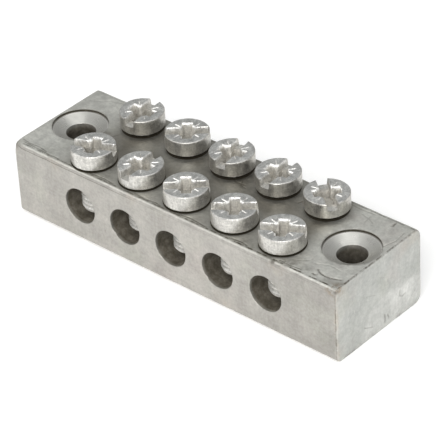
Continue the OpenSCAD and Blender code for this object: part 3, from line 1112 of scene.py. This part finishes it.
    def wobble(p, n):
        k = 0.010 * n3((p.x, p.y, p.z), 0.7, seed)
        if p.z > 0.1 and math.hypot(p.x, p.y) > HEAD_R - 0.5:
            k -= 0.03 * max(0.0, n3((p.x, p.y, p.z), 1.6, seed + 3))
        q = p + n * k
        r = math.hypot(q.x, q.y)
        if r > HEAD_R:
            q.x *= HEAD_R / r
            q.y *= HEAD_R / r
        q.z = min(q.z, HEAD_H)
        return q

    me = s.mesh(name, wobble, merge=0.003)
    rec, thr, sha, cham, low, film_side_shade_vals = [], [], [], [], [], []
    dirty = 0.25 + 0.12 * math.sin(seed * 5.0) if gap > 0.5 else 0.03
    for v in me.vertices:
        px, py, pz = v.co
        r = math.hypot(px, py)
        d = HEAD_H - pz
        cut = pz > 0.2 and r < HEAD_R - 0.04 and d > 0.02
        # painted shade in the driver recess, darker deeper down
        rec.append(smooth(0.30, 0.75, d) * (1.0 if r < 3.0 else 0.45) if cut else 0.0)
        # painted highlight only on the broken edges of the cross and the slot, not the eased rim
        cham.append(smooth(0.03, 0.08, d) * smooth(0.42, 0.24, d) if cut and r < HEAD_R - 0.30 else 0.0)
        # painted shadow: dark along the bottom of the side on the front screws, and on the underside
        low.append(smooth(0.16, 0.02, pz) * (0.7 if gap < 0.5 else 0.0) if pz > -0.01 and r > HEAD_R - 0.5 else (0.8 if -0.3 < pz < 0.1 and r < HEAD_R * 0.96 and r > neck_r + 0.05 else 0.0))
        # film on the side, plus painted shade on the side turned from the light
        a = math.atan2(py, px) + math.radians(turn)
        away = smooth(-0.2, 0.9, math.cos(a + 0.25))
        side = smooth(HEAD_R - 0.2, HEAD_R - 0.05, r)
        film_side_shade_vals.append(side * min(1.0, dirty + (0.03 if gap < 0.5 else 0.02) * away))
        # painted shade mask: 1 in the thread roots, 0 on the crests
        thr.append(smooth(2.95, 2.5, r) if pz < -0.05 else 0.0)
        sha.append(smooth(-0.2, -1.0, pz))
    for nm, vals in (("recess", rec), ("thread", thr), ("shank", sha), ("chamfer", cham), ("low", low), ("film_and_side_shade", film_side_shade_vals)):
        a = me.attributes.new(nm, "FLOAT", "POINT")
        a.data.foreach_set("value", vals)
    me.transform(Matrix.Translation((x, y, H + gap)) @ Matrix.Rotation(math.radians(turn), 4, "Z"))
    return as_object(me, name + "_head_and_thread", node, node, SCREW_MAT, 42)


for i in range(5):
    fx, fy = hole_at(i, 0)
    make_screw("screw_front_%d" % (i + 1), 1.7 * i + 2.3, TURN_F[i], fx, fy, GAP_F, "clamp_screw_front_%d" % (i + 1))
    rx, ry = hole_at(i, 1)
    make_screw("screw_rear_%d" % (i + 1), 1.9 * i + 13.1, TURN_R[i], rx, ry, GAP_R, "clamp_screw_rear_%d" % (i + 1))

# ------------------------------------------------------------------- stage


def floor_material():
    m = Nodes("studio_floor")
    n = m.noise(9, 2, 0.5)
    m.link(m.mix(n, rgb(0.955, 0.955, 0.95), rgb(0.97, 0.97, 0.965)), m.bsdf.inputs["Base Color"])
    m.bsdf.inputs["Roughness"].default_value = 0.75
    m.bsdf.inputs["Emission Color"].default_value = (1.0, 1.0, 1.0, 1.0)
    m.bsdf.inputs["Emission Strength"].default_value = 0.12
    return m.mat


fm = bpy.data.meshes.new("floor")
R = 4.0
fm.from_pydata([(-R, -R, -0.00005), (R, -R, -0.00005), (R, R, -0.00005), (-R, R, -0.00005)], [], [(0, 1, 2, 3)])
fm.materials.append(floor_material())
floor = bpy.data.objects.new("floor", fm)
bpy.context.scene.collection.objects.link(floor)

scene = bpy.context.scene
scene.view_settings.view_transform = "Standard"

world = bpy.data.worlds.new("studio")
scene.world = world
world.use_nodes = True
wt = world.node_tree
wt.nodes.clear()
wo = wt.nodes.new("ShaderNodeOutputWorld")
bg = wt.nodes.new("ShaderNodeBackground")
tcw = wt.nodes.new("ShaderNodeTexCoord")
sep = wt.nodes.new("ShaderNodeSeparateXYZ")
rampn = wt.nodes.new("ShaderNodeValToRGB")
wt.links.new(tcw.outputs["Generated"], sep.inputs[0])
wt.links.new(sep.outputs[2], rampn.inputs[0])
e = rampn.color_ramp.elements
e[0].position, e[0].color = 0.0, (0.80, 0.80, 0.79, 1)
e[1].position, e[1].color = 1.0, (0.95, 0.96, 0.97, 1)
k = e.new(0.45)
k.color = (0.62, 0.625, 0.62, 1)
wt.links.new(rampn.outputs[0], bg.inputs[0])
bg.inputs[1].default_value = 0.62
wt.links.new(bg.outputs[0], wo.inputs[0])


def soft(name, loc, target, size, watts, colour=(1, 1, 1)):
    d = bpy.data.lights.new(name, "AREA")
    d.shape = "RECTANGLE"
    d.size, d.size_y = size
    d.energy = watts
    d.color = colour
    o = bpy.data.objects.new(name, d)
    o.location = loc
    o.rotation_euler = (Vector(target) - Vector(loc)).to_track_quat("-Z", "Y").to_euler()
    o.visible_camera = False
    bpy.context.scene.collection.objects.link(o)
    return o


soft("key_left", (-0.42, -0.42, 0.50), (0, 0, 0), (0.45, 0.45), 1.5, (1.0, 0.99, 0.97))
soft("front", (0.24, -0.36, 0.30), (0, 0, 0.008), (0.30, 0.24), 2.0, (1.0, 0.995, 0.985))
soft("fill_right", (0.60, 0.05, 0.35), (0, 0, 0), (0.45, 0.35), 0.9, (0.98, 0.99, 1.0))
soft("over", (0.0, 0.15, 0.75), (0, 0, 0), (0.5, 0.4), 0.7)

# ------------------------------------------------------------------ camera
cam = bpy.data.cameras.new("view")
cam.sensor_width = 36.0
cam.lens = 213.44
cam.clip_start = 0.01
cam.clip_end = 20.0
co = bpy.data.objects.new("view", cam)
right = Vector((0.7527623, 0.6565353, -0.0480645))
up = Vector((-0.3462301, 0.4569594, 0.8193369))
back = right.cross(up)
co.matrix_world = Matrix(((right.x, up.x, back.x, 0.275145), (right.y, up.y, back.y, -0.292592),
                          (right.z, up.z, back.z, 0.286786), (0, 0, 0, 1)))
bpy.context.scene.collection.objects.link(co)
scene.camera = co
